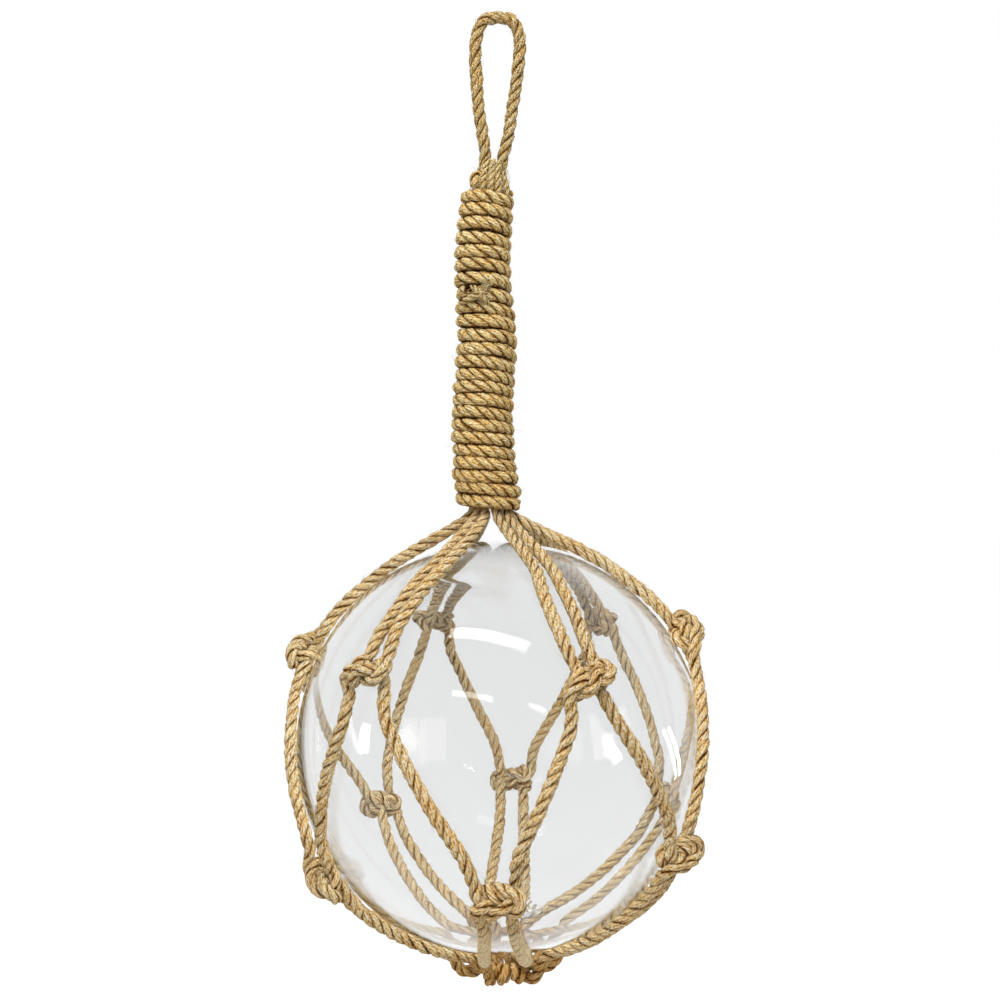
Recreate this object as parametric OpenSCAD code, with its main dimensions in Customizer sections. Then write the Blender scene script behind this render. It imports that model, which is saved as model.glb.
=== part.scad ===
// Hanging glass ball in a knotted rope net, with a rope-wrapped stem and a loop to hang it by.
// Millimetres, +Z up. The origin is the point where a hook bears, at the top inside the loop.

/* [Glass ball] */
// Outside diameter of the blown glass ball
ball_d = 200; // [160:1:260]
// Thickness of the glass wall
glass_wall = 2.2; // [1.5:0.1:5]
// Diameter of the seal where the ball was closed
seal_d = 17; // [10:1:24]
// Extra glass at the middle of the seal, inside the wall
seal_rise = 3; // [1:0.1:5]

/* [Rope] */
// Diameter of the laid jute rope
rope_d = 6.2; // [5:0.1:7]

/* [Net] */
// Latitude of the upper row of knots on the ball, in degrees
upper_knot_lat = 27; // [20:1:34]
// Latitude of the lower row of knots, in degrees below the equator
lower_knot_lat = 26; // [20:1:34]
// Diameter of the rope ring under the ball, at the middle of its rope
base_ring_d = 35; // [34:1:50]
// How far the ring hangs to the right, as an angle about the middle of the ball
base_swing = 1.8; // [0:0.1:3]

/* [Stem] */
// Turns in the lower wrapping
lower_turns = 12; // [8:1:16]
// Turns in the middle wrapping
middle_turns = 4.2; // [3:0.1:8]
// Turns in the upper wrapping
upper_turns = 7.6; // [5:0.1:12]
// Gap from the top of the ball up to the first turn of the wrapping
neck_gap = 16; // [12:1:30]
// Radius of the bundle of legs inside the wrapping, at the bottom of the stem
core_bottom_r = 10.2; // [9.5:0.1:12]
// Radius of the bundle at the top of the stem
core_top_r = 7; // [6.6:0.1:9]
// Rise of the lower wrapping in one turn
lower_pitch = 6.0; // [5.6:0.1:7]
// Rise of the middle and upper wrappings in one turn
upper_pitch = 6.6; // [5.6:0.1:8]
// Gap between one wrapping and the next
wrap_gap = 0.8; // [0.3:0.1:3]

/* [Hanging loop] */
// Length of the loop, from the top of the stem up to where a hook bears
loop_len = 76; // [50:1:140]
// Width inside the loop at its widest
loop_w = 15.4; // [12:0.1:30]

/* [Hidden] */

rope_r = rope_d / 2;
ball_r = ball_d / 2;
// Sides of a cord's section, of the loop's section, and of one turn of a wrapping seen from above
rope_sides = 6;
loop_sides = 8;
turn_steps = 14;
// Room left between a rope and what it lies on
rope_gap = 0.1;

// Heights, from the hook down
stem_len = (lower_turns + 1) * lower_pitch + (middle_turns + upper_turns) * upper_pitch + 2 * wrap_gap;
stem_top = -loop_len;
stem_bottom = stem_top - stem_len;
ball_z = stem_bottom - neck_gap - ball_r;

// The ball was sealed low at the back, to the right of its lowest point
seal_back = 14;
seal_right = 12;

// Each net cord: azimuth of its upper knot, and how far that knot sits off its row's latitude
cord_az = [-93, -38, 24, 84, 143, 203];
upper_lift = [0, 1, 0, 3, 2, 1];
// Each lower knot, to the right of the cord with the same number: azimuth and offset in latitude
lower_az = [-62, -2, 54, 112, 176, 228];
lower_lift = [-3, 2, 6, 4, 1, -2];

// Sideways sway of the stem: share of its height, then the offset in millimetres
stem_sway = [[-0.3, 0], [-0.06, -3.4], [0, -4.8], [0.13, -7.6], [0.27, -8.7], [0.38, -8.1], [0.52, -6.2],
             [0.7, -8.2], [0.8, -8.5], [0.92, -6.6], [1, -6]];

// Twelve legs lie in a ring inside the wrapping: half the angle from one to the next, the share of
// its room that a leg fills, and the room between the legs and the wrapping
leg_turn = 15;
leg_fit = 0.97;
bundle_gap = 0.35;
// Where the legs leave the stem: how far out, and how far below its end
neck_r = core_bottom_r + 3;
neck_drop = 6;
// A leg's middle over the glass between its knots, and half the space between the two legs of a pair
lie_r = ball_r + rope_r + rope_gap + 0.4;
apart = rope_r * 1.04;
// Each leg reaches the ring this far beside its slot, at this latitude
foot_turn = 10;
foot_lat = -73;

// One strand of a square knot, from the leg above round to the leg below, in knot units:
// right along the ball, up along the ball, out from the ball. The other strand is this one
// turned half round about the upright axis.
knot_strand = [[-1.3, 1.9, 0.6], [-1.3, 1.15, 0.75], [-0.7, 0.4, 0.15], [0, 0.85, -0.75],
               [0.7, 1.65, -0.1], [1.3, 1.15, 0.7], [1.7, 0.4, 0.55],
               [1.7, -0.4, 0.55], [1.3, -1.15, 0.7], [0.7, -1.65, -0.1], [0, -0.85, -0.75],
               [-0.7, -0.4, 0.15], [-1.3, -1.15, 0.75], [-1.3, -1.9, 0.6]];
knot_unit = [0.82, 0.8, 0.92] * rope_d;
// Radius of the rope where a knot squeezes it
knot_rope_r = 0.335 * rope_d;
// How far the middle of a knot stands off the glass
knot_off = 1.05 * rope_d;

// The loop's left and right runs, from the stem up: share of the half width, share of the length
loop_left = [[-0.68, -0.96], [-0.53, -0.84], [-0.68, -0.68], [-0.85, -0.54], [-0.94, -0.38], [-1.01, -0.22],
             [-1, -0.09], [-0.72, 0.02]];
loop_right = [[0.04, -0.96], [0.2, -0.84], [0.5, -0.68], [0.62, -0.54], [0.82, -0.38], [0.94, -0.22],
              [1.01, -0.09], [0.76, 0.02]];
// How far the middle of the loop sits off the middle of the ball
loop_x = -1;

// The ring under the ball
ring_r = base_ring_d / 2;
ring_drop = sqrt(pow(ball_r + 3 * rope_r + 2 * rope_gap, 2) - ring_r * ring_r);
// Half the angle left open between its ends, and the pieces that its round part is made of
ring_open = 13;
ring_pieces = 20;
// Room that a cord takes on the ring
turn_d = rope_d + rope_gap;

// Each wrapping goes on where the one below it ends
lower_start = stem_bottom + lower_pitch / 2;
middle_start = lower_start + lower_turns * lower_pitch + wrap_gap;
upper_start = middle_start + middle_turns * upper_pitch + wrap_gap;
// Angle left open between one wrapping and the next
join_turn = 20;
lower_az_from = 60;
middle_az_from = lower_az_from - 360 * lower_turns - join_turn;
upper_az_from = middle_az_from - 360 * middle_turns - join_turn;

function unit(v) = v / norm(v);
function xyz(p) = [p[0], p[1], p[2]];
function mix(a, b, t) = a + (b - a) * t;
function flip(list) = [for (i = [len(list) - 1 : -1 : 0]) list[i]];
function near_az(a, b) = a - 360 * round((a - b) / 360);

// Point at an azimuth (0 in front, positive to the right), a latitude and a distance from the ball's centre
function on_ball(az, lat, r) =
    [r * cos(lat) * sin(az), -r * cos(lat) * cos(az), ball_z + r * sin(lat)];

// Direction at [azimuth, latitude], and back
function on_sphere(p) = [cos(p[1]) * sin(p[0]), -cos(p[1]) * cos(p[0]), sin(p[1])];
function az_lat(v) = [atan2(v[0], -v[1]), asin(v[2])];

// A way from the middle of the ball, turned by the ring's swing
function swung(v) = [v[0] * cos(base_swing) - v[2] * sin(base_swing), v[1],
                     v[0] * sin(base_swing) + v[2] * cos(base_swing)];

// Corner cutting: rounds a list of [x, y, z, radius] points
function rounded(p) = concat([p[0]],
    [for (i = [0 : len(p) - 2]) each [mix(p[i], p[i + 1], 0.25), mix(p[i], p[i + 1], 0.75)]],
    [p[len(p) - 1]]);

// Directions along a path, and a sideways direction carried along it without twist
function path_dirs(p) = [for (i = [0 : len(p) - 1])
    unit(xyz(p[min(i + 1, len(p) - 1)]) - xyz(p[max(i - 1, 0)]))];
function square_to(v, t) = unit(v - (v * t) * t);
function first_side(t) = square_to(abs(t[2]) < 0.9 ? [0, 0, 1] : [1, 0, 0], t);
function path_sides(t) = [for (i = 0, s = first_side(t[0]); i < len(t);
    i = i + 1, s = i < len(t) ? square_to(s, t[i]) : s) s];

// Faces of a closed tube made of rings of points
function tube_faces(rings, sides) = concat(
    [[for (k = [0 : sides - 1]) k]],
    [[for (k = [sides - 1 : -1 : 0]) (rings - 1) * sides + k]],
    [for (i = [0 : rings - 2], k = [0 : sides - 1]) let (n = (k + 1) % sides, a = i * sides, b = a + sides)
        each [[a + k, b + k, b + n], [a + k, b + n, a + n]]]);

// A rope swept along [x, y, z, radius] points
module rope(path, sides = rope_sides) {
    dirs = path_dirs(path);
    across = path_sides(dirs);
    points = [for (i = [0 : len(path) - 1], k = [0 : sides - 1])
        let (turn = 360 * k / sides, up = cross(dirs[i], across[i]))
        xyz(path[i]) + path[i][3] * (cos(turn) * across[i] + sin(turn) * up)];
    polyhedron(points, tube_faces(len(path), sides), convexity = 10);
}

// The stem: its sway and the radius of its bundle at a share of its height
function stem_x(share) = lookup(share, stem_sway);
function core_r(share) = mix(core_bottom_r, core_top_r, share);
function stem_z(share) = mix(stem_bottom, stem_top, share);

// The ring of legs in the stem, one leg's place in it, and the room inside it for each end of the loop
function leg_ring_r(share) = (core_r(share) - bundle_gap) / (1 + sin(leg_turn));
function stem_point(az, share) = let (r = leg_ring_r(share))
    [stem_x(share) + r * sin(az), -r * cos(az), stem_z(share), leg_fit * r * sin(leg_turn)];
function inner_room(share) = leg_ring_r(share) * (1 - sin(leg_turn)) / 2;

// Azimuth of a cord's slot: its pair of legs in the stem, and its turn on the ring under the ball
function slot_az(i) = -90 + 60 * i;

// A leg from the stem down to its upper knot; side is -1 for the left leg and 1 for the right one
function upper_leg(i, side) =
    let (az = cord_az[i], slot = slot_az(i), lat = upper_knot_lat + upper_lift[i],
         neck_az = mix(az, slot, 0.75), across = 0.9 * apart * side)
    concat(
        [for (share = [0.97, 0.75, 0.52, 0.36, 0.2, 0.1, 0]) stem_point(slot + leg_turn * side, share)],
        [[stem_x(-0.05) + neck_r * sin(neck_az) + across * cos(neck_az),
          -neck_r * cos(neck_az) + across * sin(neck_az),
          stem_bottom - neck_drop, rope_r * 0.88]],
        [for (step = [[63, 0.3, 0.3], [55, 0, 0], [lat + 19, 0, 0], [lat + 10, 0, 0.4]])
            let (here = mix(az, slot, step[1]) + side * apart / (lie_r * cos(step[0])) * 180 / PI)
            concat(on_ball(here, step[0], lie_r + step[2] * rope_r), [rope_r])]);

// A strand of the knot at an azimuth and latitude; side -1 is the left strand, 1 the right one
function knot(az, lat, side) = [for (p = knot_strand)
    let (q = [-side * p[0] * knot_unit[0], p[1] * knot_unit[1], -side * p[2] * knot_unit[2]],
         r = ball_r + knot_off)
    concat(on_ball(az + q[0] / (r * cos(lat)) * 180 / PI, lat + q[1] / r * 180 / PI, r + q[2]),
           [knot_rope_r])];

// A leg lying on the glass along the shortest way from a to b, each [azimuth, latitude]
function lying_leg(a, b, shares) =
    let (from = on_sphere(a), to = on_sphere(b), angle = acos(from * to))
    [for (s = shares)
        let (way = (sin((1 - s[0]) * angle) * from + sin(s[0] * angle) * to) / sin(angle),
             p = (lie_r + s[1] * rope_r) * way)
        [p[0], p[1], ball_z + p[2], rope_r]];

// A place by the ring under the ball, given as outwards, down and along from its middle at an azimuth
function ring_point(az, out, down, along, r) =
    let (v = swung([(ring_r + out) * sin(az) + along * cos(az),
                    along * sin(az) - (ring_r + out) * cos(az), -ring_drop - down]))
    [v[0], v[1], ball_z + v[2], r];

// The round turn that a cord takes on the ring
function ring_turn(az) = [
    ring_point(az, 1.2 * turn_d, -1.26 * turn_d, -0.62 * turn_d, rope_r),
    ring_point(az, 0.1 * turn_d, -1.04 * turn_d, -0.5 * turn_d, 0.94 * rope_r),
    ring_point(az, -0.98 * turn_d, -0.7 * turn_d, -0.25 * turn_d, 0.88 * rope_r),
    ring_point(az, -1.1 * turn_d, 0.6 * turn_d, 0, 0.88 * rope_r),
    ring_point(az, -0.2 * turn_d, 1.15 * turn_d, 0.2 * turn_d, 0.96 * rope_r),
    ring_point(az, 0.9 * turn_d, 0.9 * turn_d, 0.4 * turn_d, rope_r),
    ring_point(az, 1.25 * turn_d, 0, 0.58 * turn_d, rope_r),
    ring_point(az, 1.9 * turn_d, -0.75 * turn_d, 0.62 * turn_d, rope_r)];

// Half of a net cord: from the stem to just short of the ring
function half_cord(i, side) =
    let (low = side > 0 ? i : (i + 5) % 6,
         az = cord_az[i], lat = upper_knot_lat + upper_lift[i],
         low_az = near_az(lower_az[low], az), low_lat = lower_lift[low] - lower_knot_lat,
         foot = [low_az - side * 1.3 * apart / (lie_r * cos(low_lat)) * 180 / PI, low_lat],
         end = az_lat(swung(on_sphere([slot_az(i) + side * foot_turn, foot_lat]))))
    concat(upper_leg(i, side),
        knot(az, lat, side),
        lying_leg([az, lat], [low_az, low_lat],
                  [[0.15, 0.6], [0.27, 0.1], [0.42, 0], [0.58, 0], [0.73, 0.1], [0.85, 0.6]]),
        knot(low_az, low_lat, -side),
        lying_leg(foot, end, [[0.2, 0.7], [0.4, 0.2], [0.6, 0], [0.8, 0], [1, 0]]));

module net_cord(i) {
    left = half_cord(i, -1);
    right = half_cord(i, 1);
    color("burlywood") rope(rounded(concat(left, ring_turn(slot_az(i)), flip(right))));
}

module glass_ball() {
    inner_r = ball_r - glass_wall;
    color([0.86, 0.9, 0.9, 0.45])
        translate([0, 0, ball_z]) rotate([0, -seal_right, 0]) rotate([seal_back, 0, 0])
            difference() {
                sphere(ball_r, $fn = 96);
                difference() {
                    sphere(inner_r, $fn = 96);
                    translate([0, 0, -inner_r - 0.1 * seal_rise])
                        cylinder(h = 1.1 * seal_rise, d = seal_d, $fn = 48);
                }
            }
}

module base_ring() {
    // Both ends of the ring's rope turn down side by side at the front
    function tail(side) = [
        ring_point(0, 0.56 * rope_d, 1.13 * rope_d, side * 0.9 * rope_r, 0.85 * rope_r),
        ring_point(0, 0.35 * rope_d, 0.65 * rope_d, side * 0.95 * rope_r, 0.88 * rope_r)];
    step = (360 - 2 * ring_open) / ring_pieces;
    round_part = [for (k = [0 : ring_pieces]) ring_point(-ring_open - k * step, 0, 0, 0, rope_r)];
    color("tan") rope(rounded(concat(tail(-1), round_part, flip(tail(1)))));
}

// A wrapping: turns wound about the stem, from a height and an azimuth upwards
module wrapping(low, az_from, turns, pitch) {
    steps = round(turns * turn_steps);
    sides = 8;
    half_h = pitch / 2 - 0.8 * rope_gap;
    squeeze = cos(180 / turn_steps);
    points = [for (i = [0 : steps], k = [0 : sides - 1])
        let (az = az_from - 360 * turns * i / steps, z = low + pitch * turns * i / steps,
             share = (z - stem_bottom) / stem_len, turn = 360 * (k + 0.5) / sides,
             r = core_r(share) / squeeze + rope_gap + rope_r * (1 + cos(turn)))
        [stem_x(share) + r * sin(az), -r * cos(az), z + half_h * sin(turn)]];
    polyhedron(points, tube_faces(steps + 1, sides), convexity = 10);
}

module wrap_lower() {
    color("burlywood") wrapping(lower_start, lower_az_from, lower_turns, lower_pitch);
}

module wrap_middle() {
    color("tan") wrapping(middle_start, middle_az_from, middle_turns - join_turn / 360, upper_pitch);
}

module wrap_upper() {
    color("burlywood") wrapping(upper_start, upper_az_from, upper_turns - join_turn / 360, upper_pitch);
}

module hanging_loop() {
    half_w = loop_w / 2 + rope_r;
    // Both ends run down between the legs inside the stem
    function inside(side) = [for (share = [0.7, 0.8, 0.92, 1])
        [stem_x(share) + side * (inner_room(share) - rope_gap), 0, stem_z(share),
         inner_room(share) - 2 * rope_gap]];
    function run(list) = [for (p = list) [loop_x + p[0] * half_w, 0, p[1] * loop_len, rope_r]];
    top = [for (side = [-1, 1]) [loop_x + side * 0.3 * half_w, 0, rope_r + 2 * rope_gap, rope_r]];
    path = concat(inside(-1), run(loop_left), top, flip(run(loop_right)), flip(inside(1)));
    color("burlywood") rope(rounded(path), loop_sides);
}

glass_ball();
base_ring();
net_cord(0);  // net_cord_1
net_cord(1);  // net_cord_2
net_cord(2);  // net_cord_3
net_cord(3);  // net_cord_4
net_cord(4);  // net_cord_5
net_cord(5);  // net_cord_6
wrap_lower();
wrap_middle();
wrap_upper();
hanging_loop();
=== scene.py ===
"""Sealed glass ball hung in a knotted jute net: the finish of every rope and of the glass, and its stage."""
import math

import bpy
import numpy as np
from bpy.props import FloatProperty, FloatVectorProperty, IntProperty, PointerProperty
from mathutils import Matrix, Vector


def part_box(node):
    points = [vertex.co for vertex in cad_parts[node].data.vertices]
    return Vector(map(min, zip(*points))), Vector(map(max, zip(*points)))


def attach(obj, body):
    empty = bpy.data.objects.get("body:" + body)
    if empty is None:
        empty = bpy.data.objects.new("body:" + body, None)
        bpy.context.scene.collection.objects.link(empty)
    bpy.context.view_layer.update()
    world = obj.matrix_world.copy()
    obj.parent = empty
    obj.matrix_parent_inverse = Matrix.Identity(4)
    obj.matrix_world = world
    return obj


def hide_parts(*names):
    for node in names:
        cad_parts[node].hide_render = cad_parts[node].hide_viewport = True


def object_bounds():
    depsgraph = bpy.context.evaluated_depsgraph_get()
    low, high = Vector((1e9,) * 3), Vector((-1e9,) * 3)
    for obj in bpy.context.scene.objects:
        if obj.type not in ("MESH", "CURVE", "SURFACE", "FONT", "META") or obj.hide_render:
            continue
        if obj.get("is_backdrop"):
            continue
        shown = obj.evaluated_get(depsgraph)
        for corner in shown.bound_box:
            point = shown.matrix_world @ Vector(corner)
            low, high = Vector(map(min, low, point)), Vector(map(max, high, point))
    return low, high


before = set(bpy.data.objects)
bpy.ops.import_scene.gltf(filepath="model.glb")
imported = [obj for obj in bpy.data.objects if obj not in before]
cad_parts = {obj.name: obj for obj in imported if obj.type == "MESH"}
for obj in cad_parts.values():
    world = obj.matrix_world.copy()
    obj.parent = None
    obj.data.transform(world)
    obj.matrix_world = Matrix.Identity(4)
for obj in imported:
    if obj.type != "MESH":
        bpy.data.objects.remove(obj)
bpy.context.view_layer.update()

bl_info = {
    "name": "Glass ball in a rope net",
    "version": (1, 0, 0),
    "blender": (4, 5, 0),
    "location": "View3D > Sidebar > Glass ball",
    "description": "Makes laid jute rope, square knots, a wrapped stem and a blown glass ball",
    "category": "Add Mesh",
}

MM = 0.001
BALL_LOW, BALL_HIGH = (np.array(corner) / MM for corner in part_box("glass_ball"))
BALL_R = float(BALL_HIGH[1] - BALL_LOW[1]) / 2
BALL_Z = float(BALL_HIGH[2] + BALL_LOW[2]) / 2
STEM_BOTTOM = float(BALL_HIGH[2]) + 16.0

# Places of the knots, within 6 mm of the part's: azimuth from the front and latitude, in degrees
UPPER_KNOTS = [(-93, 24.6), (-38, 27.6), (23, 27), (84, 32.6), (143, 28), (203, 27.5)]
LOWER_KNOTS = [(-61, -30), (-1, -24), (54, -20), (112, -22), (176, -25), (224.5, -29)]
# Each knot's lean, and how wide it is drawn
UPPER_SHAPE = [(-20, 1.2), (6, 1.25), (20, 1.0), (20, 1.2), (-8, 1.0), (6, 1.1)]
LOWER_SHAPE = [(-15, 1.4), (14, 1.1), (10, 1.3), (8, 1.1), (-6, 1.1), (12, 1.0)]
# How far the two legs above each upper knot stand apart: 0 where they touch
LEG_SPREAD = [0, 0.1, 0.8, 0, 0, 0.5]
# How large each cord's turn round the ring is drawn
TURN_SIZE = [1.12, 0.8, 0.86, 1.15, 1.0, 1.0]
SLOT_AZ = [-90 + 60 * i for i in range(6)]
BASE_SWING = 1.8
# Between one wrapping's end and the next one's start: in degrees, and as part of a turn
JOIN_ANGLE = 20
JOIN = JOIN_ANGLE / 360

# Sway of the stem: share of its height, then the offset to the right
STEM_SWAY = [(-0.3, 0), (-0.06, -3.4), (0, -4.8), (0.13, -7.6), (0.27, -8.7), (0.38, -8.1), (0.52, -6.2),
             (0.7, -8.2), (0.8, -8.5), (0.92, -6.6), (1, -6)]

# One strand of a square knot, in knot units: right, up and out from the ball
KNOT_STRAND = [(-1.3, 1.9, 0.6), (-1.3, 1.15, 0.75), (-0.7, 0.4, 0.15), (0, 0.85, -0.75),
               (0.7, 1.65, -0.1), (1.3, 1.15, 0.7), (1.7, 0.4, 0.55),
               (1.7, -0.4, 0.55), (1.3, -1.15, 0.7), (0.7, -1.65, -0.1), (0, -0.85, -0.75),
               (-0.7, -0.4, 0.15), (-1.3, -1.15, 0.75), (-1.3, -1.9, 0.6)]

# The loop's runs, from the stem up: share of its half width and of its length
LOOP_LEFT = [(-0.68, -0.96), (-0.53, -0.84), (-0.68, -0.68), (-0.85, -0.54), (-0.94, -0.38), (-1.01, -0.22),
             (-1, -0.09), (-0.72, 0.02)]
LOOP_RIGHT = [(0.04, -0.96), (0.2, -0.84), (0.5, -0.68), (0.62, -0.54), (0.82, -0.38), (0.94, -0.22),
              (1.01, -0.09), (0.76, 0.02)]

# The crease in the glass, high on the front: its place, the way across it, and its reach across and along, in mm
CREASE_AT = np.array([-0.148, -0.471, 0.87])
CREASE_WAY = np.array([0.424, 0.764, 0.486])
CREASE_SIDE, CREASE_ALONG = 25.0, 15.0
# The seal's place, and how many slow waves a face of the glass has
SEAL_AT = (0.17, 0.22, -0.96)
SLOW_WAVES = 14

# Tightening the ropes: length between their points, pull along them, stiffness and push apart
PACE, TENSION, STIFFNESS, PUSH = 1.4, 0.1, 0.025, 0.35
# Of a knot and of the base: reach and core in millimetres, width of a pressed rope in diameters, and rounds
KNOT_REACH, KNOT_CORE, KNOT_PRESS, KNOT_ROUNDS = 27, 9, 0.76, 44
BASE_REACH, BASE_CORE, BASE_PRESS, BASE_ROUNDS = 40, 30, 0.88, 14

# Rope that shows at the stem's top, as points [x, y, z, radius]: the bent cut end, then thin strands, four above
# the wrapping and two at the upper join
STUB = [[-8.5, -3, -86, 2.2], [-9.2, -4, -77, 2.4], [-10.6, -4.6, -72, 2.5], [-12.2, -5, -72.6, 2.5],
        [-12.4, -5.4, -77.6, 2.6]]
TUCKS = [[[-6.4, -3.6, -64, 1.5], [-7.4, -5.2, -71, 1.9], [-8.6, -6.2, -77, 1.8], [-8.2, -5.4, -84, 1.6]],
         [[-3.4, -4.2, -65, 1.6], [-4.0, -5.8, -72, 2.0], [-4.6, -6.8, -78, 1.9], [-5.2, -6.0, -84, 1.6]],
         [[-0.8, -4.0, -66, 1.5], [-1.2, -5.8, -73, 1.8], [-0.6, -6.6, -79, 2.0], [-1.6, -5.6, -84, 1.6]],
         [[1.8, -3.4, -70, 1.2], [2.2, -4.8, -75, 1.6], [3.2, -5.2, -79, 1.9], [2.4, -4.2, -84, 1.6]],
         [[-19, -9, -134, 1.2], [-15.6, -12.4, -132.4, 1.7], [-10.6, -15, -130, 1.9], [-6, -14.8, -128.4, 1.3]],
         [[-13.5, -11.6, -126, 1.2], [-10.6, -14.6, -128, 1.8], [-8.2, -15, -131.4, 1.8], [-5.4, -12.8, -135, 1.2]]]
# Frayed bunches: the ends of the line they start on and of the line they end on, count, spread, thickness, seed
STEM_TUFTS = [(((-13.2, -7.4, -78), (-10, -6, -73)), ((-13.4, -7.6, -80), (-8.6, -7, -80)), 60, 0.5, 0.16, 1),
              (((-4, -15, -126), (-12, -13.6, -128)), ((-16, -11.4, -131), (-8, -14.6, -134)), 60, 1.3, 0.16, 2),
              (((-8.2, -3.4, -66), (0.8, -3.4, -66)), ((-10.6, -5.4, -82), (2.8, -5.4, -82)), 90, 0.9, 0.17, 3)]
BASE_TUFTS = [(((-2, -20, -456), (11, -20, -456)), ((-1, -20.5, -461), (10, -20.5, -461)), 40, 1.0, 0.16, 4),
              (((-8, -9, -452), (13, -9, -452)), ((-4, -15, -461), (10, -15, -461)), 90, 0.8, 0.45, 5)]

CREAM = (1.0, 0.98, 0.87)
# The lamps that mirror in the glass: name, left and right end, each as azimuth, height and distance, then depth,
# brightness and colour
LAMPS = [("strip", (-61.6, 64.2, 1200), (28.5, 61.4, 1138), 130, 24),
         ("dash_left", (-30.3, 36.2, 1200), (-4.3, 34.9, 1200), 62, 38),
         ("dash_right", (17.4, 31.9, 1200), (27, 27.3, 1195), 45, 38),
         ("side_left", (-79.5, 4, 1100), (-72.5, 5.4, 1100), 225, 29),
         ("pane_left_a", (-56.5, 9.5, 1200), (-44.6, 11.0, 1200), 400, 4.3, CREAM),
         ("pane_left_b", (-43.2, 11.3, 1200), (-28.5, 13.0, 1200), 430, 4.3, CREAM),
         ("pane_right", (50, 11, 1200), (74, 8.5, 1200), 430, 5.4, CREAM),
         ("side_right", (58, 2.5, 1100), (68, 7, 1100), 260, 22),
         ("edge_right", (100, 2, 900), (111, -15, 900), 40, 22)]


class RopeSettings(bpy.types.PropertyGroup):
    """Sizes of the laid rope"""
    diameter: FloatProperty(name="Diameter", description="Diameter of the rope, in millimetres", default=6.2)
    lay: FloatProperty(name="Lay", description="Length in which a strand goes once round, in millimetres",
                       default=18.0)
    ring_step: FloatProperty(name="Ring step", description="Length of rope between two rings of its mesh",
                             default=1.0)
    sides: IntProperty(name="Sides", description="Sides of one strand", default=11)
    lumps: FloatProperty(name="Lumps", description="How far a strand's surface strays, in millimetres",
                         default=0.085)
    knot_squeeze: FloatProperty(name="Knot squeeze", description="Share of its diameter a rope keeps in a knot",
                                subtype="FACTOR", default=0.9)
    fuzz_per_mm: FloatProperty(name="Fuzz", description="Loose fibres for each millimetre of rope", default=1.3)
    fuzz_length: FloatProperty(name="Fuzz length", description="Mean length of a loose fibre, in millimetres",
                               default=2.6)


class ColourSettings(bpy.types.PropertyGroup):
    """Colours of the rope and the glass"""
    straw: FloatVectorProperty(name="Straw", description="Main colour of the jute", subtype="COLOR",
                               default=(0.66, 0.50, 0.215))
    pale: FloatVectorProperty(name="Pale fibre", description="Colour of the palest fibres", subtype="COLOR",
                              default=(0.72, 0.71, 0.63))
    dark: FloatVectorProperty(name="Dark fibre", description="Colour of the darkest fibres", subtype="COLOR",
                              default=(0.26, 0.125, 0.014))
    # The colour of the painted shade deep between the strands
    shade: FloatVectorProperty(name="Shade", description="Colour deep between the strands", subtype="COLOR",
                               default=(0.055, 0.013, 0.001))
    # Painted shade: copies of the net's jute for the wrapping, less blue, and for the loop, darker, standing in for
    # the stronger light on the net
    wrap_shade_tone: FloatVectorProperty(name="Wrapping", description="The wrapping against the net's own colour",
                                   subtype="COLOR", default=(1.0, 1.0, 0.87))
    loop_shade_tone: FloatVectorProperty(name="Loop", description="The loop against the net's own colour",
                                   subtype="COLOR", default=(0.76, 0.74, 0.64))
    glass: FloatVectorProperty(name="Glass", description="Tint of the glass at each of its faces",
                               subtype="COLOR", default=(0.872, 0.877, 0.877))


class GlassSettings(bpy.types.PropertyGroup):
    """Sizes of the blown ball"""
    wall: FloatProperty(name="Wall", description="Thickness of the glass, in millimetres", default=2.2)
    waviness: FloatProperty(name="Waviness", description="How far the faces stray from a true sphere, in mm",
                            default=0.12)
    crease: FloatProperty(name="Crease", description="Extra glass at the crease, in millimetres", default=1.5)
    seal_d: FloatProperty(name="Seal", description="Diameter of the seal, in millimetres", default=24.0)
    seal_rise: FloatProperty(name="Seal rise", description="Extra glass at the seal, in millimetres", default=3.0)


class StageSettings(bpy.types.PropertyGroup):
    """Camera, lamps and floor"""
    camera_back: FloatProperty(name="Camera distance", description="From the ball's middle, in millimetres",
                               default=630.4)
    camera_up: FloatProperty(name="Camera height", description="Above the ball's middle, in millimetres",
                             default=158.3)
    camera_tilt: FloatProperty(name="Camera tilt", description="Below the level, in degrees", default=3.43)
    lens: FloatProperty(name="Lens", description="Focal length on a 36 mm frame", default=46.26)
    floor_gap: FloatProperty(name="Floor gap", description="From the floor up to the net, in millimetres",
                             default=300.0)
    floor_lift: FloatProperty(name="Floor lift", description="White added to the floor where it is seen",
                              subtype="FACTOR", default=0.76)
    room_light: FloatProperty(name="Room light", description="Strength of the white room as a light",
                              subtype="FACTOR", default=0.6)
    key_light: FloatProperty(name="Key light", description="Strength of the soft light from above the front",
                             default=5.7)


def chaikin(points, rounds):
    """Rounds a route by cutting its corners"""
    for _ in range(rounds):
        a, b = points[:-1], points[1:]
        middle = np.stack([a * 0.75 + b * 0.25, a * 0.25 + b * 0.75], axis=1).reshape(-1, points.shape[1])
        points = np.vstack([points[:1], middle, points[-1:]])
    return points


def resample(points, step):
    """Spaces a route's points evenly"""
    lengths = np.r_[0, np.cumsum(np.linalg.norm(np.diff(points[:, :3], axis=0), axis=1))]
    count = max(2, int(round(lengths[-1] / step)) + 1)
    places = np.linspace(0, lengths[-1], count)
    return np.stack([np.interp(places, lengths, column) for column in points.T], axis=1), places


def drift(random, places, step, size):
    """A slow random change along a rope"""
    knots = np.arange(0, places[-1] + 2 * step, step)
    return np.interp(places, knots, random.normal(0, size, len(knots)))


def unit(vectors):
    return vectors / np.maximum(np.linalg.norm(vectors, axis=-1, keepdims=True), 1e-9)


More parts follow.
